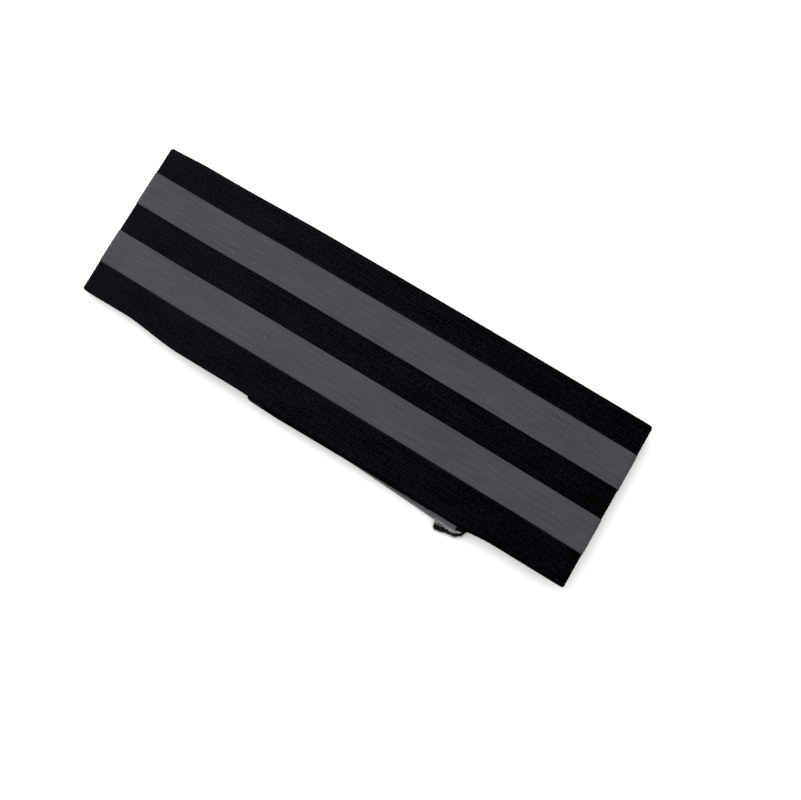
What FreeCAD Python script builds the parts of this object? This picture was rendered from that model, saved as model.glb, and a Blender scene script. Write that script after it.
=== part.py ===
"""Adjustable elastic sports headband, closed into a loop and lying flat.

Frame: millimetres, X along the band, Y across its width (the upper edge as worn is +Y), Z up.
The outer face of the front section faces up. The origin is on the surface that the band lies on,
under the middle of its box.

The band is one strip of woven elastic. It folds back at both ends. The outer arm comes round from the
left fold and lies lowest. The inner arm comes round from the right fold and lies between the outer arm
and the front section. A hook tape on the outer arm grips a loop tape on the inner arm.
"""
import FreeCAD, Part
import math
import os
import re

import Sketcher

SIZES = {
    # strip of woven elastic and its two rubber stripes
    "half_length": 110,
    "webbing_width": 70,
    "webbing_thickness": 1.5,
    "stripe_thickness": 0.3,
    "stripe_width": 15.3,
    "stripe_gap": 12.5,
    "stripe_offset": 1.3,
    "centreline": 2,
    # folds at the two ends, measured over the stripes
    "left_fold_height": 5.6,
    "right_fold_height": 5.2,
    "fold_gap_angle": 6,
    # hook and loop tapes
    "hook_tape_width": 70,
    "loop_tape_width": 66,
    "hook_base": 0.5,
    "hook_height": 0.9,
    "hook_pitch": 2,
    "hook_row_thickness": 0.5,
    "hook_margin": 2.5,
    "hook_start": 14,
    "hook_length": 52,
    "tape_clearance": 0.3,
    "loop_thickness": 1.1,
    "loop_start": -24,
    "loop_length": 96,
    # how the layers lie
    "layer_gap": 0.6,
    "front_drop_start": -36,
    "front_drop_end": -85,
    "inner_end": -27,
    "inner_bend": 74,
    "inner_slope": 0.0122,
    # outer arm and its flap
    "flap_hinge": 0,
    "body_gap": 0.3,
    "flap_end": 72,
    "flap_slope": 0.042,
    # end bindings
    "binding_thickness": 0.3,
    "binding_length": 8,
    "tab_length": 14,
    "tab_overhang": 2,
    "tab_corner": 1.8,
    "tab_top_length": 5,
    # stitches
    "stitch_length": 2.2,
    "stitch_width": 0.4,
    "stitch_height": 0.12,
    "stitch_pitch": 3,
    "stitch_inset": 1.4,
}

doc = FreeCAD.newDocument("headband")
sheet = doc.addObject("Spreadsheet::Sheet", "Sizes")
for row, (alias, value) in enumerate(SIZES.items(), start=1):
    sheet.set(f"A{row}", alias)
    sheet.set(f"B{row}", str(value))
    sheet.setAlias(f"B{row}", alias)
doc.recompute()

# Heights of the layers, from the surface up.
OUTER_LOW = "stripe_thickness"
OUTER_TOP = OUTER_LOW + " + webbing_thickness"
HOOK_TOP = OUTER_TOP + " + hook_base + hook_height"
LOOP_LOW = HOOK_TOP + " + tape_clearance"
LOOP_TOP = LOOP_LOW + " + loop_thickness"
INNER_LOW = LOOP_TOP + " + stripe_thickness"
INNER_TOP = INNER_LOW + " + webbing_thickness"
FRONT_LOW = INNER_TOP + " + layer_gap"
FRONT_TOP = FRONT_LOW + " + webbing_thickness"
STRIPE_TOP = FRONT_TOP + " + stripe_thickness"

# Each fold is part of a ring about a line along Y.
LEFT_X = "-half_length + left_fold_height / 2"
LEFT_Z = "left_fold_height / 2"
RIGHT_X = "half_length - right_fold_height / 2"
RIGHT_Z = "(" + STRIPE_TOP + " - right_fold_height / 2)"
LEFT_FRONT_TOP = "left_fold_height - stripe_thickness"
LEFT_FRONT_LOW = LEFT_FRONT_TOP + " - webbing_thickness"
RIGHT_INNER_LOW = STRIPE_TOP + " - right_fold_height + stripe_thickness"
RIGHT_INNER_TOP = RIGHT_INNER_LOW + " + webbing_thickness"

# Widths across the band, as distances from its centreline: the webbing and its two stripes.
UPPER_STRIPE_EDGE = "stripe_offset + stripe_gap / 2"
LOWER_STRIPE_EDGE = "stripe_offset - stripe_gap / 2"
ACROSS = {
    "webbing": ("-webbing_width / 2", "webbing_width / 2"),
    "upper_stripe": (UPPER_STRIPE_EDGE, UPPER_STRIPE_EDGE + " + stripe_width"),
    "lower_stripe": (LOWER_STRIPE_EDGE + " - stripe_width", LOWER_STRIPE_EDGE),
}

sub_parts = []


def bound(text):
    """The expression that text means, with every alias in it read from the sheet."""
    return re.sub(r"[a-z_]+", lambda word: "Sizes." * (word.group() in SIZES) + word.group(), text)


def polygon(body, role, corners, offset=None, turn=None):
    """A closed outline on one of the body's origin planes, each corner placed by two expressions."""
    sketch = body.newObject("Sketcher::SketchObject", body.Name + "_outline")
    plane = next(f for f in body.Origin.OriginFeatures if f.Role == role)
    sketch.AttachmentSupport = (plane, "")
    sketch.MapMode = "FlatFace"
    if turn is not None:
        sketch.AttachmentOffset = FreeCAD.Placement(
            FreeCAD.Vector(0, 0, 0), FreeCAD.Rotation(FreeCAD.Vector(0, 1, 0), 10)
        )
        sketch.setExpression("AttachmentOffset.Rotation.Angle", bound(turn))
    for letter, text in zip("xyz", offset or ()):
        sketch.setExpression("AttachmentOffset.Base." + letter, bound(text))
    count = len(corners)
    around = [2 * math.pi * (i + 0.5) / count for i in range(count)]
    points = [FreeCAD.Vector(math.cos(a), math.sin(a), 0) for a in around]
    for i in range(count):
        sketch.addGeometry(Part.LineSegment(points[i], points[(i + 1) % count]), False)
    for i in range(count):
        sketch.addConstraint(Sketcher.Constraint("Coincident", i, 2, (i + 1) % count, 1))
    for i, (across, up) in enumerate(corners):
        for kind, text in (("DistanceX", across), ("DistanceY", up)):
            number = sketch.addConstraint(Sketcher.Constraint(kind, -1, 1, i, 1, 1.0))
            sketch.setExpression(f"Constraints[{number}]", bound(text))
    return sketch


def pad(body, sketch, length):
    feature = body.newObject("PartDesign::Pad", body.Name + "_pad")
    feature.Profile = sketch
    feature.setExpression("Length", bound(length))
    sketch.Visibility = False
    return feature


def revolve(body, sketch, angle):
    feature = body.newObject("PartDesign::Revolution", body.Name + "_turn")
    feature.Profile = sketch
    feature.ReferenceAxis = (sketch, ["V_Axis"])
    feature.setExpression("Angle", bound(angle))
    return feature


def named_body(label):
    body = doc.addObject("PartDesign::Body", label + "_body")
    body.Label = label
    body.AllowCompound = True
    sub_parts.append(body)
    return body


def flap_shift(along):
    """How far the flap has strayed toward -Y at this place along the band."""
    return f" - flap_slope * ({along} - flap_hinge)"


def inner_shift(along):
    """How far the inner arm has strayed toward -Y at this place along the band."""
    return f" - inner_slope * ({RIGHT_X} - ({along}))"


def outline(x_from, x_to, y_from, y_to, shift=None):
    """Four corners of a stretch of the band. Its ends are square to X, and its sides follow the shift."""
    stray = shift or (lambda along: "")
    return [
        (along, f"centreline + {across}" + stray(along))
        for along, across in ((x_from, y_from), (x_to, y_from), (x_to, y_to), (x_from, y_to))
    ]


def slab(body, corners, low, thickness):
    """A flat layer with the outline given, resting at height low."""
    return pad(body, polygon(body, "XY_Plane", corners, ("0", "0", low)), thickness)


def side_profile(body, corners, y_from, y_to):
    """A layer that rises or falls along X, drawn from the side and as wide as y_from to y_to."""
    plane = ("0", "0", f"-(centreline + {y_to})")
    return pad(body, polygon(body, "XZ_Plane", corners, plane), f"({y_to}) - ({y_from})")


def fold(body, layer, centre, height, lean_from, lean_to):
    """Part of a fold, from one lean to another. A lean of 0 is straight up and 180 is straight down."""
    outside = f"{height} / 2"
    if layer == "webbing":
        outside += " - stripe_thickness"
    thickness = "webbing_thickness" if layer == "webbing" else "stripe_thickness"
    y_from, y_to = ACROSS[layer]
    inside = f"{outside} - {thickness}"
    corners = [(inside, y_from), (outside, y_from), (outside, y_to), (inside, y_to)]
    side = -1 if centre[0] == LEFT_X else 1
    start = f"-90 - ({lean_to})" if side < 0 else f"-90 + ({lean_from})"
    section = polygon(body, "XY_Plane", corners, (centre[0], "centreline", centre[1]), start)
    return revolve(body, section, f"({lean_to}) - ({lean_from})")


def levels(layer, low, top):
    """Lowest and highest height of the webbing or of the stripe on its upper or lower face."""
    if layer == "webbing":
        return low, top
    return top, top + " + stripe_thickness"


LEFT_FOLD = (LEFT_X, LEFT_Z)
RIGHT_FOLD = (RIGHT_X, RIGHT_Z)
UPPER_SPLIT = "45 - fold_gap_angle / 2"
LOWER_SPLIT = "135 + fold_gap_angle / 2"
ARM_CUT = "flap_hinge - body_gap / 2"
FLAP_CUT = "flap_hinge + body_gap / 2"
TAB_START = "flap_end - tab_length"
INNER_BINDING_END = "inner_end + binding_length"


def front_section(layer):
    """Front of the band: flat over the layers below, then dropping to the left fold and an eighth of it."""
    body = named_body(layer + "_front")
    left_low, left_top = levels(layer, LEFT_FRONT_LOW, LEFT_FRONT_TOP)
    low, top = levels(layer, FRONT_LOW, FRONT_TOP)
    corners = [
        (LEFT_X, left_low),
        ("front_drop_end", left_low),
        ("front_drop_start", low),
        (RIGHT_X, low),
        (RIGHT_X, top),
        ("front_drop_start", top),
        ("front_drop_end", left_top),
        (LEFT_X, left_top),
    ]
    side_profile(body, corners, *ACROSS[layer])
    fold(body, layer, LEFT_FOLD, "left_fold_height", "0", UPPER_SPLIT)


def right_fold_section(layer):
    """Half turn at the right end, from the front down to the inner arm."""
    body = named_body(layer + "_right_fold")
    fold(body, layer, RIGHT_FOLD, "right_fold_height", "0", "180")


def left_fold_section(layer):
    """Middle of the left fold, which opens on both sides."""
    body = named_body(layer + "_left_fold")
    upper = "45 + fold_gap_angle / 2"
    lower = "135 - fold_gap_angle / 2"
    fold(body, layer, LEFT_FOLD, "left_fold_height", upper, lower)


def inner_arm_section(layer):
    """Inner arm: a side profile that rises a little from the right fold, cut to a plan that strays."""
    if layer == "webbing":
        end = "inner_end"
        right_low, right_top, low, top = RIGHT_INNER_LOW, RIGHT_INNER_TOP, INNER_LOW, INNER_TOP
    else:
        end = INNER_BINDING_END
        right_low, right_top = RIGHT_INNER_LOW + " - stripe_thickness", RIGHT_INNER_LOW
        low, top = LOOP_TOP, INNER_LOW
    corners = [
        (end, low),
        ("inner_bend", low),
        (RIGHT_X, right_low),
        (RIGHT_X, right_top),
        ("inner_bend", top),
        (end, top),
    ]
    profile = doc.addObject("PartDesign::Body", layer + "_inner_profile")
    side_profile(profile, corners, "-webbing_width", "webbing_width")
    plan = doc.addObject("PartDesign::Body", layer + "_inner_plan")
    slab(plan, outline(end, RIGHT_X, *ACROSS[layer], inner_shift), "0", STRIPE_TOP)
    arm = doc.addObject("Part::Common", layer + "_inner_arm_common")
    arm.Base = profile
    arm.Tool = plan
    arm.Label = layer + "_inner_arm"
    sub_parts.append(arm)


def outer_arm_section(layer):
    """Outer arm: the last eighth of the left fold, then flat on the surface as far as the flap."""
    body = named_body(layer + "_outer_arm")
    low, thickness = (OUTER_LOW, "webbing_thickness") if layer == "webbing" else ("0", "stripe_thickness")
    slab(body, outline(LEFT_X, ARM_CUT, *ACROSS[layer]), low, thickness)
    fold(body, layer, LEFT_FOLD, "left_fold_height", LOWER_SPLIT, "180")


def flap_section(layer):
    """End of the outer arm, which peels open. The stripes stop where the pull tab wraps it."""
    body = named_body(layer + "_flap")
    if layer == "webbing":
        slab(body, outline(FLAP_CUT, "flap_end", *ACROSS[layer], flap_shift), OUTER_LOW, "webbing_thickness")
    else:
        slab(body, outline(FLAP_CUT, TAB_START, *ACROSS[layer], flap_shift), "0", "stripe_thickness")


def tape_edges(width, margin="0"):
    """Both side edges of a tape, as distances from the centreline, less a margin."""
    return f"-{width} / 2 + {margin}", f"{width} / 2 - {margin}"


def hook_tape():
    """Nylon tape on the inner face of the flap. Each ridge is one row of hooks across the tape."""
    body = named_body("hook_tape")
    base = outline("hook_start", "hook_start + hook_length", *tape_edges("hook_tape_width"), flap_shift)
    strip = slab(body, base, OUTER_TOP, "hook_base")
    first = "hook_start + hook_row_thickness"
    row_end = first + " + hook_row_thickness"
    ridge = outline(first, row_end, *tape_edges("hook_tape_width", "hook_margin"), flap_shift)
    row = slab(body, ridge, OUTER_TOP + " + hook_base", "hook_height")
    rows = body.newObject("PartDesign::LinearPattern", "hook_rows")
    rows.Originals = [row]
    rows.Direction = (strip.Profile[0], ["Edge1"])
    rows.Mode = "Spacing"
    rows.setExpression("Offset", bound("hook_pitch"))
    rows.setExpression("Occurrences", bound("floor((hook_length - hook_row_thickness) / hook_pitch)"))
    body.Tip = rows


def loop_tape():
    """Brushed nylon tape on the outer face of the inner arm."""
    body = named_body("loop_tape")
    tape = outline("loop_start", "loop_start + loop_length", *tape_edges("loop_tape_width"), inner_shift)
    slab(body, tape, LOOP_LOW, "loop_thickness")


def seam(label, width, x_from, x_to, heights, shift):
    """Stitches along both sides of a tape, a row on each face that the thread shows on."""
    body = named_body(label)
    first = f"{x_from} + stitch_inset"
    last = first + " + stitch_length"
    stitches = []
    for side in (f"-{width} / 2 + stitch_inset", f"{width} / 2 - stitch_inset - stitch_width"):
        for low in heights:
            stitch = outline(first, last, side, side + " + stitch_width", shift)
            stitches.append(slab(body, stitch, low, "stitch_height"))
    pattern = body.newObject("PartDesign::LinearPattern", label + "_rows")
    pattern.Originals = stitches
    pattern.Direction = (stitches[0].Profile[0], ["Edge1"])
    pattern.Mode = "Spacing"
    pattern.setExpression("Offset", bound("stitch_pitch"))
    run = f"({x_to}) - ({x_from}) - 2 * stitch_inset"
    pattern.setExpression("Occurrences", bound(f"floor(({run}) / stitch_pitch)"))
    body.Tip = pattern


def cross_seam(label, along, low, shift):
    """One row of stitches across the band, on the upper face of a binding."""
    body = named_body(label)
    start = "-webbing_width / 2 + stitch_inset"
    stitch = outline(along, along + " + stitch_width", start, start + " + stitch_length", shift)
    first = slab(body, stitch, low, "stitch_height")
    pattern = body.newObject("PartDesign::LinearPattern", label + "_row")
    pattern.Originals = [first]
    pattern.Direction = (first.Profile[0], ["V_Axis"])
    pattern.Mode = "Spacing"
    pattern.setExpression("Offset", bound("stitch_pitch"))
    pattern.setExpression("Occurrences", bound("floor((webbing_width - 2 * stitch_inset) / stitch_pitch)"))
    body.Tip = pattern


def inner_end_binding():
    """Thin tape folded round the end of the inner arm."""
    body = named_body("inner_end_binding")
    leaf = outline("inner_end", INNER_BINDING_END, *ACROSS["webbing"], inner_shift)
    slab(body, leaf, INNER_LOW + " - binding_thickness", "binding_thickness")
    slab(body, leaf, INNER_TOP, "binding_thickness")
    turn = outline("inner_end - binding_thickness", "inner_end", *ACROSS["webbing"], inner_shift)
    slab(body, turn, INNER_LOW + " - binding_thickness", "webbing_thickness + 2 * binding_thickness")


def pull_tab():
    """Tape folded round the end of the flap. One side stands out past the webbing, to pull it by."""
    body = named_body("pull_tab")
    y_low, y_high = ACROSS["webbing"]
    end = "flap_end + binding_thickness"
    height = "webbing_thickness + 2 * binding_thickness"
    edge = outline(TAB_START, end, y_low + " - tab_overhang", y_low, flap_shift)
    grip = slab(body, edge, "0", height)
    doc.recompute()
    outer_y = min(vertex.Y for vertex in grip.Shape.Vertexes) + SIZES["tab_overhang"] / 2
    corners = [
        f"Edge{number}"
        for number, line in enumerate(grip.Shape.Edges, start=1)
        if all(vertex.Y < outer_y for vertex in line.Vertexes)
        and abs(line.Vertexes[0].X - line.Vertexes[1].X) < 0.001
    ]
    rounding = body.newObject("PartDesign::Fillet", "tab_rounding")
    rounding.Base = (grip, corners)
    rounding.setExpression("Radius", bound("tab_corner"))
    slab(body, outline(TAB_START, "flap_end", y_low, y_high, flap_shift), "0", "binding_thickness")
    top_leaf = outline("flap_end - tab_top_length", "flap_end", y_low, y_high, flap_shift)
    slab(body, top_leaf, OUTER_TOP, "binding_thickness")
    slab(body, outline("flap_end", end, y_low, y_high, flap_shift), "0", height)


for strip_layer in ACROSS:
    front_section(strip_layer)
    right_fold_section(strip_layer)
    inner_arm_section(strip_layer)
    left_fold_section(strip_layer)
    outer_arm_section(strip_layer)
    flap_section(strip_layer)

loop_tape()
seam(
    "loop_tape_stitching",
    "loop_tape_width",
    INNER_BINDING_END,
    "loop_start + loop_length",
    (LOOP_LOW + " - stitch_height", INNER_TOP),
    inner_shift,
)
inner_end_binding()
inner_seam_height = INNER_TOP + " + binding_thickness"
cross_seam("inner_end_stitching", "inner_end + binding_length / 2", inner_seam_height, inner_shift)
hook_tape()
seam(
    "hook_tape_stitching",
    "hook_tape_width",
    "hook_start",
    TAB_START,
    (OUTER_TOP + " + hook_base", OUTER_LOW + " - stitch_height"),
    flap_shift,
)
pull_tab()
tab_seam_height = OUTER_TOP + " + binding_thickness"
cross_seam("pull_tab_stitching", "flap_end - tab_top_length / 2", tab_seam_height, flap_shift)

doc.recompute()
for item in doc.Objects:
    if "Invalid" in item.State or "Error" in item.State:
        raise RuntimeError(f"{item.Label} failed to build: {item.State}")

os.makedirs("parts", exist_ok=True)
for part in sub_parts:
    shape = part.Shape
    if shape.isNull() or not shape.isValid() or shape.Volume <= 0:
        raise RuntimeError(f"{part.Label} has no sound shape")
    shape.exportStep(f"parts/{part.Label}.step")
    print(f"{part.Label}: {len(shape.Solids)} solids, {shape.Volume:.1f} mm3")
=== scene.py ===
import math
import random

import bmesh
import bpy
from mathutils import Matrix, Vector, noise


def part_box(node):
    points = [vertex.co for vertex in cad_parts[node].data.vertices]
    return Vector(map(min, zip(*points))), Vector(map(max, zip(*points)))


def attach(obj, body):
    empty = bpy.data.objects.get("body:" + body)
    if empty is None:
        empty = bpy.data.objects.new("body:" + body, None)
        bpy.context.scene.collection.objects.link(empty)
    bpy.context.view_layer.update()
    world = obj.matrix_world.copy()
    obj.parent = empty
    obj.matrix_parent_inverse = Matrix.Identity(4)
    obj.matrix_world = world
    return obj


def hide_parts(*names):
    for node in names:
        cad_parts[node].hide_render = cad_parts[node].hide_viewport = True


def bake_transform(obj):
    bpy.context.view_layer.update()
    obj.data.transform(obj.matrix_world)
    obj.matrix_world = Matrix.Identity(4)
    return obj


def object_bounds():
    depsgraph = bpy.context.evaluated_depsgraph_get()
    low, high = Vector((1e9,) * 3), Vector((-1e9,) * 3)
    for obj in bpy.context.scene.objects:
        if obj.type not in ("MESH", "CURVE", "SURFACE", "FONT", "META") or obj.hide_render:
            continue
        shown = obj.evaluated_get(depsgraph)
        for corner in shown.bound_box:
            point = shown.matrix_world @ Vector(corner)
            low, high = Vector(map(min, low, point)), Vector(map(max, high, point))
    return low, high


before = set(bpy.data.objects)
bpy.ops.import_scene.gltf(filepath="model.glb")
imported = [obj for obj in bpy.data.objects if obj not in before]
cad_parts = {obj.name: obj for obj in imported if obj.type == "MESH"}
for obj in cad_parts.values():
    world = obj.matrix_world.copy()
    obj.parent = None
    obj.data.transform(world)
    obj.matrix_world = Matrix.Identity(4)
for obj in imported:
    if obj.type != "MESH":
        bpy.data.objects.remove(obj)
cad_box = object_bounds()

# ------------------------------------------------------------------------------------------------
# The elastic: black webbing, 70 mm wide and 1.5 mm thick, cut as one strip and folded flat twice.
# Covered rubber cords run along it, one every 1.3 mm with every second one a little lower, under a
# knit of matt polyester yarn. It is made flat here and then laid round its two folds.
MM = 0.001
front_low, front_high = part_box("webbing_front")
right_fold_low, right_fold_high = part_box("webbing_right_fold")
left_fold_low, left_fold_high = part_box("webbing_left_fold")
inner_low, inner_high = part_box("webbing_inner_arm")
outer_low, outer_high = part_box("webbing_outer_arm")
flap_low, flap_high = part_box("webbing_flap")

elastic_width = front_high.y - front_low.y
half_thick = (flap_high.z - flap_low.z) / 2
centre_y = (front_high.y + front_low.y) / 2

left_z = (left_fold_low.z + left_fold_high.z) / 2
left_radius = left_z - flap_low.z - half_thick
left_x = left_fold_low.x + left_radius + half_thick
right_x = right_fold_low.x
right_z = (right_fold_low.z + right_fold_high.z) / 2
right_radius = (right_fold_high.z - right_fold_low.z) / 2 - half_thick
left_turn = math.pi * left_radius
right_turn = math.pi * right_radius

front_level = front_high.z - half_thick
front_left_level = left_z + left_radius
drop_start = -36 * MM
drop_end = -85 * MM
inner_level = inner_high.z - half_thick
inner_right_level = right_z - right_radius
inner_bend = 74 * MM
outer_level = flap_low.z + half_thick
flap_slope = (front_low.y - flap_low.y) / flap_high.x
inner_slope = (front_low.y - inner_low.y) / (right_x - inner_low.x)

BOW = 0.35 * MM
OUTER_SWAY = 0.8 * MM
INNER_STRAY = 0.5 * MM
UPPER_EDGE_GROWTH = 0.5 * MM
UPPER_EDGE_PINCH = 0.8 * MM
LOWER_EDGE_PINCH_LEFT = 2.3 * MM
LOWER_EDGE_PINCH_RIGHT = 1.0 * MM
LEFT_GROWTH = 0.6 * MM
RIGHT_GROWTH = 0.8 * MM
LEFT_SKEW = 0.048
RIGHT_SKEW = 0.015
SKEW_FADE = 7 * MM
HINGE_EASE = 6 * MM
INNER_REACH = 1.6 * MM
INNER_CORNER = 2.6 * MM
FLAP_CORNER = 7.5 * MM

# Places along the strip, counted from the middle of the front towards the left fold.
INNER_START = -2 * right_x - right_turn + inner_low.x - INNER_REACH
RIGHT_INNER = -right_x - right_turn
RIGHT_FRONT = -right_x
LEFT_FRONT = -left_x
LEFT_MIDDLE = LEFT_FRONT + left_turn / 2
LEFT_OUTER = LEFT_FRONT + left_turn
FLAP_HINGE = LEFT_OUTER - left_x
OUTER_SPLIT = FLAP_HINGE - 40 * MM
FLAP_END = FLAP_HINGE + flap_high.x


def eased(t):
    """A smooth step from 0 to 1."""
    t = min(max(t, 0), 1)
    return t * t * (3 - 2 * t)


def settled(x, across, z, drift=0, skewed=1):
    """Where a point comes to lie: the band bows a little, its two ends are not quite square, and its
    edges are drawn in towards them."""
    leftward = eased((-45 * MM - x) / (65 * MM))
    rightward = eased((x - 60 * MM) / (50 * MM))
    end_x = leftward * (-LEFT_GROWTH - LEFT_SKEW * skewed * across)
    end_x += rightward * (RIGHT_GROWTH - RIGHT_SKEW * across)
    bow = BOW * math.cos(min(abs(x - 40 * MM) / (110 * MM), 1) * math.pi / 2) ** 2
    growth = UPPER_EDGE_GROWTH - UPPER_EDGE_PINCH * eased((-90 * MM - x) / (20 * MM))
    grown = growth * eased((across - 25 * MM) / (10 * MM))
    pinch = LOWER_EDGE_PINCH_LEFT * eased((-60 * MM - x) / (30 * MM))
    pinch += LOWER_EDGE_PINCH_RIGHT * eased((x - 66 * MM) / (14 * MM))
    grown += pinch * eased((-across - 16 * MM) / (20 * MM))
    return Vector((x + end_x, centre_y + across + grown + bow + drift, z))


def narrowed(along):
    """The part of its width the strip has: less near its two cut ends, whose corners are rounded."""
    cut = 0
    for from_end, corner in ((along - INNER_START, INNER_CORNER), (FLAP_END - along, FLAP_CORNER)):
        into = 1 - min(max(from_end / corner, 0), 1)
        cut += corner * (1 - math.sqrt(1 - into * into))
    return 1 - cut / (elastic_width / 2)


def lie(along, across, out):
    """Where a point of the flat strip lies. out is the distance from the strip's middle layer towards
    its printed face."""
    across = across * narrowed(along)
    skewed = 1 - eased((along - LEFT_MIDDLE) / SKEW_FADE)
    if along > LEFT_OUTER:
        x = left_x + along - LEFT_OUTER
        sway = OUTER_SWAY * math.sin(math.pi * min(max(x / left_x, 0), 1)) ** 2
        stray = flap_slope * HINGE_EASE * math.log1p(math.exp(x / HINGE_EASE))
        return settled(x, across, outer_level - out, sway - stray, skewed)
    if along > LEFT_FRONT:
        lean = (along - LEFT_FRONT) / left_radius
        reach = left_radius + out
        x = left_x - reach * math.sin(lean)
        return settled(x, across, left_z + reach * math.cos(lean), 0, skewed)
    if along > RIGHT_FRONT:
        drop = eased((drop_start + along) / (drop_start - drop_end))
        level = front_level + (front_left_level - front_level) * drop
        return settled(-along, across, level + out)
    if along > RIGHT_INNER:
        lean = (RIGHT_FRONT - along) / right_radius
        reach = right_radius + out
        return settled(right_x + reach * math.sin(lean), across, right_z + reach * math.cos(lean))
    x = right_x + along - RIGHT_INNER
    rise = eased((x - inner_bend) / (right_x - inner_bend))
    level = inner_level + (inner_right_level - inner_level) * rise
    stray = INNER_STRAY * eased((inner_low.x + 14 * MM - x) / (14 * MM)) - inner_slope * (right_x - x)
    return settled(x, across, level - out, stray)


RIB_PITCH = 2.6 * MM
FINE_RIB = 0.13 * MM
COARSE_RIB = 0.06 * MM
COLUMN = RIB_PITCH / 8
FLAT_STEP = 3 * MM
FOLD_STEP = 0.35 * MM
HINGE_STEP = 1.0 * MM
HINGE_REACH = 9 * MM


def stations(start, end):
    """Places along the strip where it gets a row of vertices, close together where it bends."""
    bends = (
        (RIGHT_INNER - 1 * MM, RIGHT_FRONT + 1 * MM, FOLD_STEP),
        (LEFT_FRONT - 1 * MM, LEFT_OUTER + 5 * MM, FOLD_STEP),
        (FLAP_HINGE - HINGE_REACH, FLAP_HINGE + HINGE_REACH, HINGE_STEP),
        (INNER_START, INNER_START + INNER_CORNER, FOLD_STEP),
        (FLAP_END - FLAP_CORNER, FLAP_END, FOLD_STEP),
    )
    places = [start]
    while places[-1] < end - 0.01 * MM:
        here = places[-1]
        onward = min([here + FLAT_STEP] + [low for low, high, step in bends if low > here + 0.01 * MM])
        for low, high, step in bends:
            if low - 0.01 * MM <= here < high:
                onward = here + step
        places.append(min(onward, end))
    return places


def edge_swell(from_edge, radius, least):
    """How full a layer is near its side edge: 1 inside, less towards the rounded edge."""
    inset = 1 - min(from_edge / radius, 1)
    return least + (1 - least) * math.sqrt(1 - inset * inset)


def elastic_face(along, across, side):
    """Height of the elastic's printed (side 1) or plain (side -1) face over its middle layer."""
    turn = 2 * math.pi * across / RIB_PITCH
    groove = FINE_RIB * (1 - math.cos(2 * turn)) / 2 + COARSE_RIB * (1 - math.cos(turn)) / 2
    swell = edge_swell(elastic_width / 2 - abs(across), half_thick, 0.3)
    return side * (half_thick - groove) * swell


def laid_sheet(name, places, edge_low, edge_high, column, face, lay=lie):
    """A closed sheet: a flat grid given a thickness, its two faces shaped, and laid in its place."""
    columns = max(4, round((edge_high - edge_low) / column))
    bm = bmesh.new()
    bmesh.ops.create_grid(bm, x_segments=len(places) - 1, y_segments=columns, size=1)
    bmesh.ops.solidify(bm, geom=bm.faces[:], thickness=1)
    middle = sum(v.co.z for v in bm.verts) / len(bm.verts)
    unrolled = bm.loops.layers.uv.new("unrolled")
    flat = {}
    for v in bm.verts:
        along = places[round((v.co.x + 1) / 2 * (len(places) - 1))]
        across = edge_low + (edge_high - edge_low) * (v.co.y + 1) / 2
        flat[v] = (along, across)
        v.co = lay(along, across, face(along, across, 1 if v.co.z > middle else -1))
    for f in bm.faces:
        f.smooth = True
        for loop in f.loops:
            loop[unrolled].uv = flat[loop.vert]
    bmesh.ops.recalc_face_normals(bm, faces=bm.faces[:])
    return finished(bm, name)


def finished(bm, name):
    """The object made of that mesh."""
    for edge in bm.edges:
        edge.smooth = edge.calc_face_angle(0) < math.radians(50)
    mesh = bpy.data.meshes.new(name)
    bm.to_mesh(mesh)
    bm.free()
    piece = bpy.data.objects.new(name, mesh)
    bpy.context.scene.collection.objects.link(piece)
    return piece


def new_finish(name, roughness, gloss):
    """A material with that roughness and gloss, and its shader."""
    material = bpy.data.materials.new(name)
    material.use_nodes = True
    shader = material.node_tree.nodes["Principled BSDF"]
    shader.inputs["Roughness"].default_value = roughness
    shader.inputs["Specular IOR Level"].default_value = gloss
    return material, shader


def wired(material, kind, output, **settings):
    """An output of a new node of that kind, its inputs and properties given by name."""
    node = material.node_tree.nodes.new(kind)
    for key, value in settings.items():
        if key not in node.inputs:
            setattr(node, key, value)
    for key, value in settings.items():
        if key in node.inputs and isinstance(value, bpy.types.NodeSocket):
            material.node_tree.links.new(value, node.inputs[key])
        elif key in node.inputs:
            node.inputs[key].default_value = value
    return node.outputs[output]


def reckoned(material, operation, *terms):
    """The result of one Math node."""
    node = material.node_tree.nodes.new("ShaderNodeMath")
    node.operation = operation
    for socket, term in zip(node.inputs, terms):
        if isinstance(term, bpy.types.NodeSocket):
            material.node_tree.links.new(term, socket)
        else:
            socket.default_value = term
    return node.outputs[0]


def mixed(material, *parts):
    """A weighted sum of values, each part a value and its weight."""
    total = reckoned(material, "MULTIPLY", *parts[0])
    for value, weight in parts[1:]:
        total = reckoned(material, "MULTIPLY_ADD", value, weight, total)
    return total


def shaded(material, amount, low, dark, high, light):
    """A colour that runs from dark, where the amount is low, to light, where it is high."""
    ramp = material.node_tree.nodes.new("ShaderNodeValToRGB")
    ramp.color_ramp.elements[0].position = low
    ramp.color_ramp.elements[0].color = (*dark, 1)
    ramp.color_ramp.elements[1].position = high
    ramp.color_ramp.elements[1].color = (*light, 1)
    material.node_tree.links.new(amount, ramp.inputs["Fac"])
    return ramp.outputs["Color"]


def coated(material, shader, colour, height, strength, distance):
    """Gives the shader its colour and its fine relief."""
    bump = wired(material, "ShaderNodeBump", "Normal", Strength=strength, Distance=distance, Height=height)
    material.node_tree.links.new(colour, shader.inputs["Base Color"])
    material.node_tree.links.new(bump, shader.inputs["Normal"])


def speckle(material, place, stretch, scale, detail=2.0):
    """Noise on the unrolled strip, drawn out along it by the stretch."""
    drawn = wired(material, "ShaderNodeMapping", "Vector", Vector=place, Scale=(1 / stretch, 1.0, 1.0))
    return wired(material, "ShaderNodeTexNoise", "Fac", Vector=drawn, Scale=scale, Detail=detail)


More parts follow.
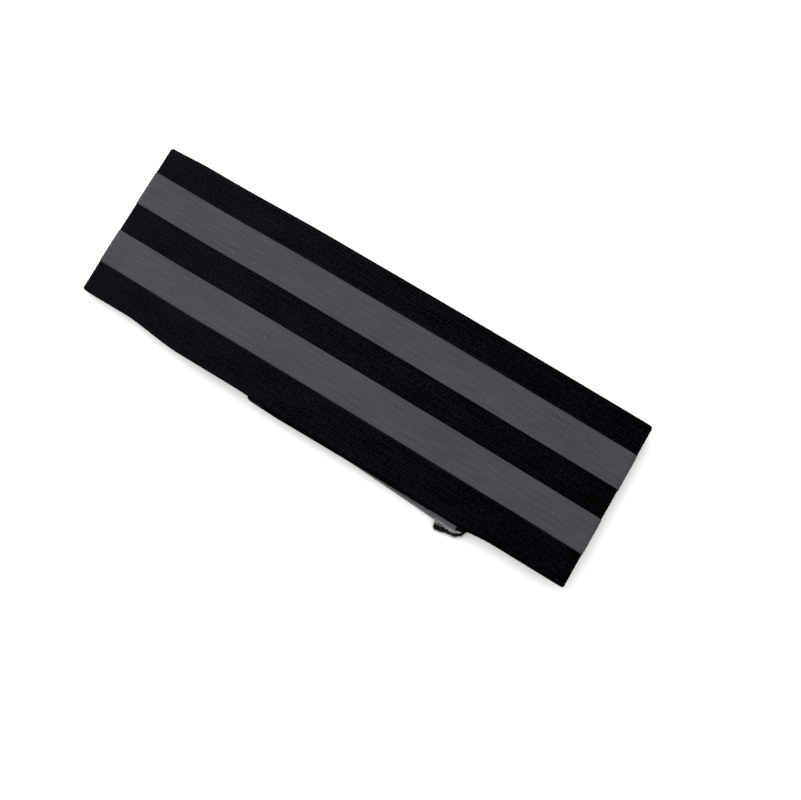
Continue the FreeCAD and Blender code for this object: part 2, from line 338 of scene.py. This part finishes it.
def knitted_black():
    """Matt black yarn. Each rib is a row of short picks, some fuller than others, and painted shade
    makes the grooves between the ribs darkest. Single fibres catch the light. A painted light
    falloff makes it a little paler towards the left fold, where the key light is, and darker towards the
    right one."""
    material, shader = new_finish("knitted_black", 0.9, 0.01)
    place = wired(material, "ShaderNodeUVMap", "UV", uv_map="unrolled")
    split = material.node_tree.nodes.new("ShaderNodeSeparateXYZ")
    material.node_tree.links.new(place, split.inputs["Vector"])
    along, across = split.outputs["X"], split.outputs["Y"]
    turn = reckoned(material, "MULTIPLY", across, 2 * math.pi / RIB_PITCH)
    crest = reckoned(material, "COSINE", reckoned(material, "MULTIPLY", turn, 2.0))
    tall = reckoned(material, "COSINE", turn)
    lean = reckoned(material, "MULTIPLY", crest, 0.6)
    pick_turn = reckoned(material, "MULTIPLY_ADD", along, 2 * math.pi / (0.9 * MM), lean)
    pick = reckoned(material, "SINE", pick_turn)
    picks = speckle(material, place, 1.7, 1500.0)
    fibres = speckle(material, place, 4.0, 3600.0, 3.0)
    patches = speckle(material, place, 3.0, 160.0)
    on_front = reckoned(material, "MINIMUM", reckoned(material, "MAXIMUM", along, -110 * MM), 110 * MM)
    # painted light: paler towards the left fold, where the key light stands, darker towards the right
    painted_light_falloff = reckoned(material, "MULTIPLY", on_front, 1 / (110 * MM))
    # crest and tall paint shade into the grooves between the ribs
    woven = mixed(material, (crest, 0.07), (tall, 0.03), (pick, 0.04), (picks, 0.95), (fibres, 0.35))
    tone = mixed(material, (woven, 1.0), (patches, 0.30), (painted_light_falloff, 0.11))
    colour = shaded(material, tone, 0.64, (0.0001, 0.0001, 0.0003), 1.1, (0.0043, 0.0042, 0.0070))
    height = mixed(material, (pick, 0.3), (picks, 1.0), (fibres, 0.8))
    coated(material, shader, colour, height, 0.5, 0.12 * MM)
    return material


def follow_strip(piece, part):
    """Bakes the piece's transform into its mesh, the same for every part of the strip."""
    if part == "front":
        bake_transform(piece)
    elif part == "outer_arm":
        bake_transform(piece)
    else:
        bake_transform(piece)


knit = knitted_black()
strip_parts = {
    "front": (INNER_START, LEFT_MIDDLE, ("front", "right_fold", "inner_arm", "left_fold")),
    "outer_arm": (LEFT_MIDDLE, OUTER_SPLIT, ("outer_arm",)),
    "flap": (OUTER_SPLIT, FLAP_END, ("flap",)),
}
for part, (start, end, nodes) in strip_parts.items():
    edge = elastic_width / 2
    piece = laid_sheet("elastic_" + part, stations(start, end), -edge, edge, COLUMN, elastic_face)
    piece.data.materials.append(knit)
    follow_strip(piece, part)
    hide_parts(*("webbing_" + node for node in nodes))

# ------------------------------------------------------------------------------------------------
# The two stripes: matt grey rubber, 15.3 mm wide, printed on the elastic's outer face. They follow
# its ribs softly, have rounded edges, and pick up a little lint. They stop short of the bindings.
PRINT_HEIGHT = 0.14 * MM
PRINT_SINK = 0.3 * MM
PRINT_EDGE = 0.5 * MM


def printed_face(edge_low, edge_high):
    """Heights of a stripe between those edges. Its underside is sunk into the knit."""

    def face(along, across, side):
        if side < 0:
            return half_thick - PRINT_SINK
        crown = edge_swell(min(across - edge_low, edge_high - across), PRINT_EDGE, 0)
        ridge = 0.03 * MM * (1 - math.cos(2 * math.pi * across / RIB_PITCH))
        return half_thick - PRINT_SINK + (PRINT_HEIGHT + PRINT_SINK) * crown - ridge * crown

    return face


def printed_grey():
    """Matt grey rubber: faint lines over the ribs, a fine grain, cloudy wear and specks of lint."""
    material, shader = new_finish("printed_grey", 0.8, 0.12)
    place = wired(material, "ShaderNodeUVMap", "UV", uv_map="unrolled")
    split = material.node_tree.nodes.new("ShaderNodeSeparateXYZ")
    material.node_tree.links.new(place, split.inputs["Vector"])
    turn = reckoned(material, "MULTIPLY", split.outputs["Y"], 2 * math.pi / RIB_PITCH)
    crest = reckoned(material, "COSINE", turn)
    lines = speckle(material, place, 9.0, 900.0)
    grain = speckle(material, place, 1.6, 1500.0, 3.0)
    clouds = speckle(material, place, 2.0, 60.0, 3.0)
    tone = mixed(material, (crest, 0.03), (lines, 0.35), (grain, 0.45), (clouds, 0.35))
    grey = shaded(material, tone, 0.35, (0.025, 0.025, 0.032), 0.80, (0.050, 0.050, 0.061))
    lint = wired(material, "ShaderNodeTexVoronoi", "Distance", Vector=place, Scale=260.0)
    rarely = wired(material, "ShaderNodeTexVoronoi", "Color", Vector=place, Scale=260.0)
    chosen = reckoned(material, "GREATER_THAN", rarely, 0.58)
    speck = reckoned(material, "MULTIPLY", reckoned(material, "LESS_THAN", lint, 0.075), chosen)
    pale = (0.09, 0.09, 0.095, 1)
    colour = wired(material, "ShaderNodeMix", "Result", data_type="RGBA", Factor=speck, A=grey, B=pale)
    coated(material, shader, colour, tone, 0.3, 0.08 * MM)
    return material


print_finish = printed_grey()
prints = {part: [] for part in strip_parts}
TAB_START = FLAP_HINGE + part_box("upper_stripe_flap")[1].x
STRIPE_START = RIGHT_INNER - right_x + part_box("upper_stripe_inner_arm")[0].x
for stripe in ("upper_stripe", "lower_stripe"):
    edge_low, edge_high = (corner.y - centre_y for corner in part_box(stripe + "_front"))
    for part, (start, end, nodes) in strip_parts.items():
        places = stations(max(start, STRIPE_START), min(end, TAB_START))
        face = printed_face(edge_low, edge_high)
        piece = laid_sheet(f"{stripe}_{part}_print", places, edge_low, edge_high, COLUMN, face)
        piece.data.materials.append(print_finish)
        follow_strip(piece, part)
        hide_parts(*(f"{stripe}_{node}" for node in nodes))
        prints[part].append(piece)

# ------------------------------------------------------------------------------------------------
# The loop tape: the soft half of the fastener, a grey nylon ground with smooth selvedges and a pile
# of small standing loops, sewn flat on the inner arm's printed face.
LOOP_GROUND = 0.5 * MM
LOOP_PITCH = 1.7 * MM
LOOP_SELVEDGE = 2.4 * MM
LOOP_YARN = 0.11 * MM
YARN_SIDES = 4
loop_low, loop_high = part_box("loop_tape")
loop_half = elastic_width / 2 - 2 * MM
loop_start = RIGHT_INNER - right_x + loop_low.x
loop_end = RIGHT_INNER - right_x + loop_high.x
loop_back = half_thick + PRINT_HEIGHT
pile_reach = inner_level - loop_low.z


def loop_ground_face(along, across, side):
    """Heights of the loop tape's ground, rounded at its selvedges and uneven between the loops."""
    if side < 0:
        return loop_back
    crown = edge_swell(loop_half - abs(across), 0.3 * MM, 0.3)
    unevenness = noise.noise(Vector((along, across, 0)) / (1.1 * MM)) * 0.07 * MM
    return loop_back + LOOP_GROUND * crown + unevenness * (abs(across) < loop_half - LOOP_SELVEDGE)


def evenly(start, end, step):
    """Places from start to end about that step apart."""
    count = max(1, round((end - start) / step))
    return [start + (end - start) * i / count for i in range(count + 1)]


def planted(name, template, stances):
    """One object of many copies of a small mesh, one for each stance. The template is used up."""
    bm = bmesh.new()
    for stance in stances:
        copy = template.copy()
        copy.transform(stance)
        bm.from_mesh(copy)
        bpy.data.meshes.remove(copy)
    bpy.data.meshes.remove(template)
    return finished(bm, name)


def closed_template(bm, name):
    """A small closed mesh to be planted many times."""
    bmesh.ops.holes_fill(bm, edges=bm.edges[:], sides=0)
    bmesh.ops.recalc_face_normals(bm, faces=bm.faces[:])
    for f in bm.faces:
        f.smooth = True
    mesh = bpy.data.meshes.new(name)
    bm.to_mesh(mesh)
    bm.free()
    return mesh


def standing(point, facing, turn, lean):
    """A stance at a point of the strip: facing 1 stands up and -1 hangs down, then turned and leaning."""
    upright = Matrix.Identity(4) if facing > 0 else Matrix.Rotation(math.pi, 4, "X")
    turned = Matrix.Translation(point) @ upright @ Matrix.Rotation(turn, 4, "Z")
    return turned @ Matrix.Rotation(lean, 4, "X")


def nylon(name, dark, light, gloss):
    """Grey nylon yarn with a fine twist, a soft shine and slightly uneven colour."""
    material, shader = new_finish(name, 0.5, gloss)
    place = wired(material, "ShaderNodeTexCoord", "Object")
    twist = wired(material, "ShaderNodeTexNoise", "Fac", Vector=place, Scale=2400.0, Detail=2.0)
    cloud = wired(material, "ShaderNodeTexNoise", "Fac", Vector=place, Scale=260.0, Detail=3.0)
    tone = mixed(material, (twist, 0.6), (cloud, 0.4))
    coated(material, shader, shaded(material, tone, 0.3, dark, 0.7, light), twist, 0.4, 0.05 * MM)
    return material


loop_places = evenly(loop_start, loop_end, 0.8 * MM)
loop_tape = laid_sheet("loop_tape_ground", loop_places, -loop_half, loop_half, 0.8 * MM, loop_ground_face)
pile_finish = nylon("loop_nylon", (0.009, 0.009, 0.012), (0.028, 0.028, 0.034), 0.3)
loop_tape.data.materials.append(pile_finish)

bm = bmesh.new()
bmesh.ops.create_circle(bm, segments=YARN_SIDES, radius=LOOP_YARN)
bmesh.ops.spin(
    bm, geom=bm.verts[:] + bm.edges[:], cent=(0.3 * MM, 0, 0), axis=(0, 1, 0), dvec=(0, 0, 0),
    angle=math.pi, steps=5, use_merge=False, use_normal_flip=False, use_duplicate=False,
)
bmesh.ops.translate(bm, vec=(-0.3 * MM, 0, 0), verts=bm.verts[:])
tall = (pile_reach - loop_back - LOOP_GROUND - 0.05 * MM) / (0.3 * MM + LOOP_YARN)
bmesh.ops.scale(bm, vec=(1, 1, tall), verts=bm.verts[:])
one_loop = closed_template(bm, "one_loop")
draw = random.Random(11)
loop_stances = []
for row, along in enumerate(evenly(loop_start + 1 * MM, loop_end - 1 * MM, LOOP_PITCH)):
    for across in evenly(-loop_half + LOOP_SELVEDGE, loop_half - LOOP_SELVEDGE, LOOP_PITCH):
        shift = (row % 2 - 0.5) * LOOP_PITCH / 2
        foot = lie(along + draw.uniform(-0.3, 0.3) * MM, across + shift, loop_back + LOOP_GROUND - 0.1 * MM)
        loop_stances.append(standing(foot, -1, draw.uniform(0, math.pi), draw.uniform(-0.25, 0.25)))
pile = planted("loop_tape_pile", one_loop, loop_stances)
pile.data.materials.append(pile_finish)
for piece in (loop_tape, pile):
    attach(piece, "band")
    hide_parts("loop_tape")

# ------------------------------------------------------------------------------------------------
# The stitching of the loop tape: black polyester thread in two rows, 3 mm a stitch, that shows on
# the tape and on the elastic's other face. Each stitch pulls down at its two ends.
STITCH_PITCH = 3 * MM
STITCH_HALF = 1.1 * MM
STITCH_INSET = 1.6 * MM
THREAD_HALF = 0.2 * MM
THREAD_RISE = 0.13 * MM


def one_stitch():
    """A short closed bead, pointed at both ends, along X."""
    bm = bmesh.new()
    bmesh.ops.create_uvsphere(bm, u_segments=6, v_segments=5, radius=1)
    bmesh.ops.rotate(bm, cent=(0, 0, 0), matrix=Matrix.Rotation(math.pi / 2, 3, "Y"), verts=bm.verts[:])
    bmesh.ops.scale(bm, vec=(STITCH_HALF, THREAD_HALF, THREAD_RISE), verts=bm.verts[:])
    return closed_template(bm, "one_stitch")


def thread_black():
    """Black polyester thread with the slanted lines of its twist."""
    material, shader = new_finish("thread_black", 0.55, 0.3)
    place = wired(material, "ShaderNodeTexCoord", "Object")
    turned = wired(material, "ShaderNodeMapping", "Vector", Vector=place, Rotation=(0, 0, 0.7))
    twist = wired(material, "ShaderNodeTexWave", "Fac", Vector=turned, Scale=900.0, Distortion=1.0)
    colour = shaded(material, twist, 0.2, (0.002, 0.002, 0.004), 0.9, (0.014, 0.014, 0.019))
    coated(material, shader, colour, twist, 0.5, 0.05 * MM)
    return material


def sewn(name, start, end, edge, outs, body, lay=lie):
    """Two rows of stitches along the strip, on each of the faces at those heights."""
    stances = []
    count = int((end - start - 2 * STITCH_HALF) / STITCH_PITCH)
    for i in range(count):
        along = start + STITCH_HALF + (i + 0.5) * STITCH_PITCH
        for across in (-edge, edge):
            for out in outs:
                slant = Matrix.Rotation(0.06, 4, "Z")
                stances.append(Matrix.Translation(lay(along, across, out)) @ slant)
    row = planted(name, one_stitch(), stances)
    row.data.materials.append(thread)
    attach(row, body)
    return row


thread = thread_black()
binding_low, binding_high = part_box("inner_end_binding")
loop_seam_start = RIGHT_INNER - right_x + binding_high.x
loop_edge = loop_half - STITCH_INSET
loop_seam_outs = (loop_back + LOOP_GROUND, -half_thick + FINE_RIB / 2)
loop_seam = sewn("loop_tape_seam", loop_seam_start, loop_end, loop_edge, loop_seam_outs, "band")
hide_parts("loop_tape_stitching")

# ------------------------------------------------------------------------------------------------
# The binding of the inner end: thin black twill tape folded round the cut end of the elastic and
# sewn through with one row of stitches. Its fold is paler: pale fibres and a painted highlight.
BINDING_THICKNESS = 0.3 * MM
WRAP_RADIUS = half_thick + BINDING_THICKNESS / 2
HALF_WRAP = WRAP_RADIUS * math.pi / 2


def wrap_round(end, inward):
    """A lay for tape folded round an end of the strip. Its middle is at the end, and it runs from
    there along the plain face where along is above 0, and along the printed face below."""

    def lay(along, across, out):
        bent = min(max(along / WRAP_RADIUS, -math.pi / 2), math.pi / 2)
        straight = max(abs(along) - HALF_WRAP, 0)
        reach = WRAP_RADIUS + out
        place = end + inward * (straight - reach * math.cos(bent))
        return lie(place, across, -reach * math.sin(bent))

    return lay


def binding_face(along, across, side):
    """Heights of the binding tape's two faces over its own middle layer."""
    ripple = 0.02 * MM * math.sin(2 * math.pi * across / (1.4 * MM))
    swell = edge_swell(elastic_width / 2 - abs(across), 0.3 * MM, 0.5)
    return side * (BINDING_THICKNESS / 2 * swell + ripple)


def twill_black(name, fold_paling):
    """Black twill tape with slanted ribs, paler along its fold: pale fibres and a painted highlight."""
    material, shader = new_finish(name, 0.8, 0.05)
    place = wired(material, "ShaderNodeUVMap", "UV", uv_map="unrolled")
    split = material.node_tree.nodes.new("ShaderNodeSeparateXYZ")
    material.node_tree.links.new(place, split.inputs["Vector"])
    slanted = reckoned(material, "MULTIPLY_ADD", split.outputs["X"], 0.6, split.outputs["Y"])
    twill = reckoned(material, "SINE", reckoned(material, "MULTIPLY", slanted, 2 * math.pi / (0.7 * MM)))
    fibres = speckle(material, place, 1.5, 2600.0, 3.0)
    tone = mixed(material, (twill, 0.2), (fibres, 0.8))
    colour = shaded(material, tone, 0.2, (0.0006, 0.0006, 0.0012), 0.8, (0.0075, 0.0075, 0.0105))
    # paler towards the fold: pale fibres there, and a painted highlight where the fold faces the light
    from_fold = reckoned(material, "ABSOLUTE", split.outputs["X"])
    fold_nearness = reckoned(material, "SUBTRACT", 1.7, reckoned(material, "MULTIPLY", from_fold, 1 / HALF_WRAP))
    pale = reckoned(material, "MULTIPLY", reckoned(material, "MAXIMUM", fold_nearness, 0.0), fold_paling)
    fibre_and_highlight_grey = (0.075, 0.075, 0.08, 1)
    mix = wired(material, "ShaderNodeMix", "Result", data_type="RGBA", Factor=pale, A=colour, B=fibre_and_highlight_grey)
    coated(material, shader, mix, tone, 0.5, 0.08 * MM)
    return material


def wrap_places(printed_leaf, plain_leaf):
    """Rows of a folded tape: close together round its fold."""
    return (
        evenly(-HALF_WRAP - printed_leaf, -HALF_WRAP, 1 * MM)[:-1]
        + evenly(-HALF_WRAP, HALF_WRAP, 0.2 * MM)
        + evenly(HALF_WRAP, HALF_WRAP + plain_leaf, 1 * MM)[1:]
    )


binding_leaf = binding_high.x - inner_low.x
inner_end_lay = wrap_round(INNER_START, 1)
binding = laid_sheet(
    "inner_end_tape", wrap_places(binding_leaf, binding_leaf), -elastic_width / 2, elastic_width / 2,
    0.7 * MM, binding_face, inner_end_lay,
)
binding.data.materials.append(twill_black("binding_twill", 0.9))
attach(binding, "band")
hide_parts("inner_end_binding")


def cross_sewn(name, along, body, lay):
    """One row of stitches across a folded tape, on its plain-side leaf."""
    stances = []
    edge = elastic_width / 2 - STITCH_INSET
    for across in evenly(-edge + STITCH_HALF, edge - STITCH_HALF, STITCH_PITCH):
        point = lay(along, across, BINDING_THICKNESS / 2)
        stances.append(Matrix.Translation(point) @ Matrix.Rotation(math.pi / 2, 4, "Z"))
    row = planted(name, one_stitch(), stances)
    row.data.materials.append(thread)
    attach(row, body)
    return row


inner_seam = cross_sewn("inner_end_seam", HALF_WRAP + binding_leaf / 2, "band", inner_end_lay)
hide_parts("inner_end_stitching")

# ------------------------------------------------------------------------------------------------
# The hook tape: the stiff half of the fastener, as wide as the elastic, sewn on the flap's plain
# face. A smooth grey ground with rows of small moulded nylon hooks. Its corner by the tab is frayed.
HOOK_GROUND = 0.5 * MM
HOOK_PITCH = 1.6 * MM
HOOK_SELVEDGE = 2.6 * MM
HOOK_STEM = 0.5 * MM
HOOK_CURL = 0.22 * MM
HOOK_YARN = 0.09 * MM
hook_low, hook_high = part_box("hook_tape")
hook_start = FLAP_HINGE + hook_low.x
hook_end = FLAP_HINGE + hook_high.x
hook_half = elastic_width / 2
hook_face = -half_thick - HOOK_GROUND


def hook_ground_face(along, across, side):
    """Heights of the hook tape's ground, sunk a little into the knit under it."""
    if side > 0:
        return -half_thick + 0.3 * MM
    crown = edge_swell(hook_half - abs(across), 0.35 * MM, 0.2)
    return -half_thick + 0.3 * MM - (HOOK_GROUND + 0.3 * MM) * crown


hook_ground = nylon("hook_ground_nylon", (0.060, 0.058, 0.068), (0.110, 0.107, 0.122), 0.35)
hook_places = evenly(hook_start, hook_end, 1 * MM)
hook_tape = laid_sheet("hook_tape_ground", hook_places, -hook_half, hook_half, 0.35 * MM, hook_ground_face)
hook_tape.data.materials.append(hook_ground)


def one_hook():
    """A moulded hook: a straight stem that curls over at its top."""
    bm = bmesh.new()
    bmesh.ops.create_circle(bm, segments=YARN_SIDES, radius=HOOK_YARN)
    rim = bmesh.ops.extrude_edge_only(bm, edges=bm.edges[:])["geom"]
    top = [v for v in rim if isinstance(v, bmesh.types.BMVert)]
    bmesh.ops.translate(bm, vec=(0, 0, HOOK_STEM), verts=top)
    curl = top + [e for e in rim if isinstance(e, bmesh.types.BMEdge) and all(v in top for v in e.verts)]
    bmesh.ops.spin(
        bm, geom=curl, cent=(HOOK_CURL, 0, HOOK_STEM), axis=(0, 1, 0), dvec=(0, 0, 0),
        angle=math.radians(160), steps=4, use_merge=False, use_normal_flip=False, use_duplicate=False,
    )
    return closed_template(bm, "one_hook")


draw = random.Random(23)
hook_stances = []
for row, along in enumerate(evenly(hook_start + 0.8 * MM, hook_end - 0.8 * MM, HOOK_PITCH)):
    for across in evenly(-hook_half + HOOK_SELVEDGE, hook_half - HOOK_SELVEDGE, HOOK_PITCH):
        foot = lie(along + draw.uniform(-0.15, 0.15) * MM, across, hook_face + 0.05 * MM)
        turn = math.pi * (row % 2) + draw.uniform(-0.3, 0.3)
        hook_stances.append(standing(foot, 1, turn, draw.uniform(-0.1, 0.1)))
FRAY_COUNT = 130
FRAY_START = FLAP_HINGE + 57.6 * MM
FRAY_LENGTH = 10.6 * MM
for i in range(FRAY_COUNT):
    along = FRAY_START + FRAY_LENGTH * i / FRAY_COUNT
    across = -hook_half - draw.uniform(-0.5, 0.9 - 0.9 * i / FRAY_COUNT) * MM
    foot = lie(along, across, hook_face + 0.35 * MM)
    hook_stances.append(standing(foot, 1, draw.uniform(0, 2 * math.pi), draw.uniform(0.2, 0.9)))
hooks = planted("hook_tape_hooks", one_hook(), hook_stances)
hooks.data.materials.append(nylon("hook_nylon_pale", (0.22, 0.22, 0.23), (0.50, 0.50, 0.52), 0.5))
for piece in (hook_tape, hooks):
    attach(piece, "flap")
    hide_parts("hook_tape")
hook_seam_outs = (hook_face, half_thick - FINE_RIB / 2)
hook_seam = sewn("hook_tape_seam", hook_start, TAB_START, hook_half - STITCH_INSET, hook_seam_outs, "flap")
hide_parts("hook_tape_stitching")

# ------------------------------------------------------------------------------------------------
# The pull tab: black tape folded round the end of the flap, longer on the printed face. One side
# stands out past the elastic as a soft, fuzzy grip to peel the fastener by.
TAB_FUZZ = 420
tab_low, tab_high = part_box("pull_tab")
tab_printed_leaf = flap_high.x - tab_low.x
tab_plain_leaf = 5 * MM
flap_end_lay = wrap_round(FLAP_END, -1)
tab_twill = twill_black("tab_twill", 0.15)
tab = laid_sheet(
    "pull_tab_tape", wrap_places(tab_printed_leaf, tab_plain_leaf), -elastic_width / 2, elastic_width / 2,
    0.7 * MM, binding_face, flap_end_lay,
)
tab.data.materials.append(tab_twill)

GRIP_THICKNESS = 1.9 * MM
GRIP_TUCK = 1.0 * MM
grip_start = FLAP_HINGE + tab_low.x - 0.2 * MM
grip_end = FLAP_END - 2.2 * MM


def grip_reach(along):
    """How far the grip stands out: most at its free end, less towards the band's end."""
    t = (along - grip_start) / (grip_end - grip_start)
    rounded = edge_swell(min(along - grip_start, 1.6 * (grip_end - along)), 1.3 * MM, 0)
    return (2.95 - 2.2 * t + 0.25 * math.sin(9 * t)) * MM * rounded


def grip_lay(along, across, out):
    """across runs from 0, tucked under the elastic's edge, to 1, the outer rim."""
    inner = -elastic_width / 2 + GRIP_TUCK
    return lie(along, inner - across * (GRIP_TUCK + grip_reach(along)), out - 0.1 * MM)


def grip_face(along, across, side):
    """Heights of the soft grip: full in the middle and rounded at its rim and ends."""
    ends = edge_swell(min(along - grip_start, grip_end - along), 0.8 * MM, 0.25)
    lump = noise.noise(Vector((along / MM, across * 3, side * 2.0))) * 0.16 * MM
    return side * GRIP_THICKNESS / 2 * edge_swell(1 - across, 0.45, 0.15) * ends + lump * (1 - across)


grip = laid_sheet("pull_tab_grip", evenly(grip_start, grip_end, 0.25 * MM), 0, 1, 0.08, grip_face, grip_lay)
grip.data.materials.append(tab_twill)

bm = bmesh.new()
bmesh.ops.create_cone(bm, cap_ends=True, segments=3, radius1=0.07 * MM, radius2=0.015 * MM, depth=0.9 * MM)
bmesh.ops.translate(bm, vec=(0, 0, 0.4 * MM), verts=bm.verts[:])
one_fibre = closed_template(bm, "one_fibre")
draw = random.Random(37)
fibre_stances = []
for _ in range(TAB_FUZZ):
    along = draw.uniform(grip_start + 0.2 * MM, grip_end - 0.3 * MM)
    across = 1 - 0.75 * draw.random() ** 2
    foot = grip_lay(along, across, -grip_face(along, across, 1) * 0.8)
    away = Matrix.Rotation(draw.uniform(0.2, 1.7), 4, "X") @ Matrix.Rotation(draw.uniform(-0.8, 0.8), 4, "Y")
    fibre_stances.append(Matrix.Translation(foot) @ away)
fuzz = planted("pull_tab_fuzz", one_fibre, fibre_stances)
fuzz.data.materials.append(nylon("tab_fibre", (0.001, 0.001, 0.002), (0.022, 0.022, 0.026), 0.1))
for piece in (tab, grip, fuzz):
    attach(piece, "flap")
    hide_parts("pull_tab")
tab_seam = cross_sewn("pull_tab_seam", HALF_WRAP + tab_plain_leaf / 2, "flap", flap_end_lay)
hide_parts("pull_tab_stitching")

# ------------------------------------------------------------------------------------------------
# The floor, the light and the camera: a plain white table, one large soft light from the upper left
# with white all round, and a camera that looks down steeply at the band from its front right.
bm = bmesh.new()
bmesh.ops.create_grid(bm, x_segments=1, y_segments=1, size=1.5)
floor = finished(bm, "floor")
white_table, shader = new_finish("white_table", 0.9, 0.1)
shader.inputs["Base Color"].default_value = (0.9, 0.9, 0.9, 1)
floor.data.materials.append(white_table)

studio = bpy.data.worlds.new("studio")
bpy.context.scene.world = studio
studio.use_nodes = True
studio.node_tree.nodes["Background"].inputs["Color"].default_value = (1, 1, 1, 1)
studio.node_tree.nodes["Background"].inputs["Strength"].default_value = 1.2

key_place = Vector((-0.42, 0.20, 0.50))
key = bpy.data.lights.new("key", "AREA")
key.size = 0.9
key.energy = 4.6
key_light = bpy.data.objects.new("key", key)
key_turn = key_place.to_track_quat("Z", "Y").to_matrix().to_4x4()
key_light.matrix_world = Matrix.Translation(key_place) @ key_turn
bpy.context.scene.collection.objects.link(key_light)
bpy.context.scene.view_settings.view_transform = "Standard"

AZIMUTH = math.radians(36.0)
ELEVATION = math.radians(78.85)
ROLL = math.radians(-4.26)
DISTANCE = 389 * MM
ASIDE = 17.5 * MM
UPWARD = -14.2 * MM
LENS_RATIO = 1.253
camera_tilt = Matrix.Rotation(math.pi / 2 - ELEVATION, 3, "X")
back = Matrix.Rotation(AZIMUTH, 3, "Z") @ camera_tilt @ Vector((0, 0, 1))
level_right = Vector((math.cos(AZIMUTH), math.sin(AZIMUTH), 0))
turned = Matrix.Rotation(ROLL, 3, back)
right = turned @ level_right
up = turned @ back.cross(level_right)
camera = bpy.data.cameras.new("camera")
camera.lens = camera.sensor_width * LENS_RATIO
camera.clip_start = 10 * MM
viewer = bpy.data.objects.new("camera", camera)
viewer_place = Vector((0, 0, cad_box[1].z / 2)) + right * ASIDE + up * UPWARD + back * DISTANCE
viewer.matrix_world = Matrix.Translation(viewer_place) @ Matrix((right, up, back)).transposed().to_4x4()
bpy.context.scene.collection.objects.link(viewer)
bpy.context.scene.camera = viewer
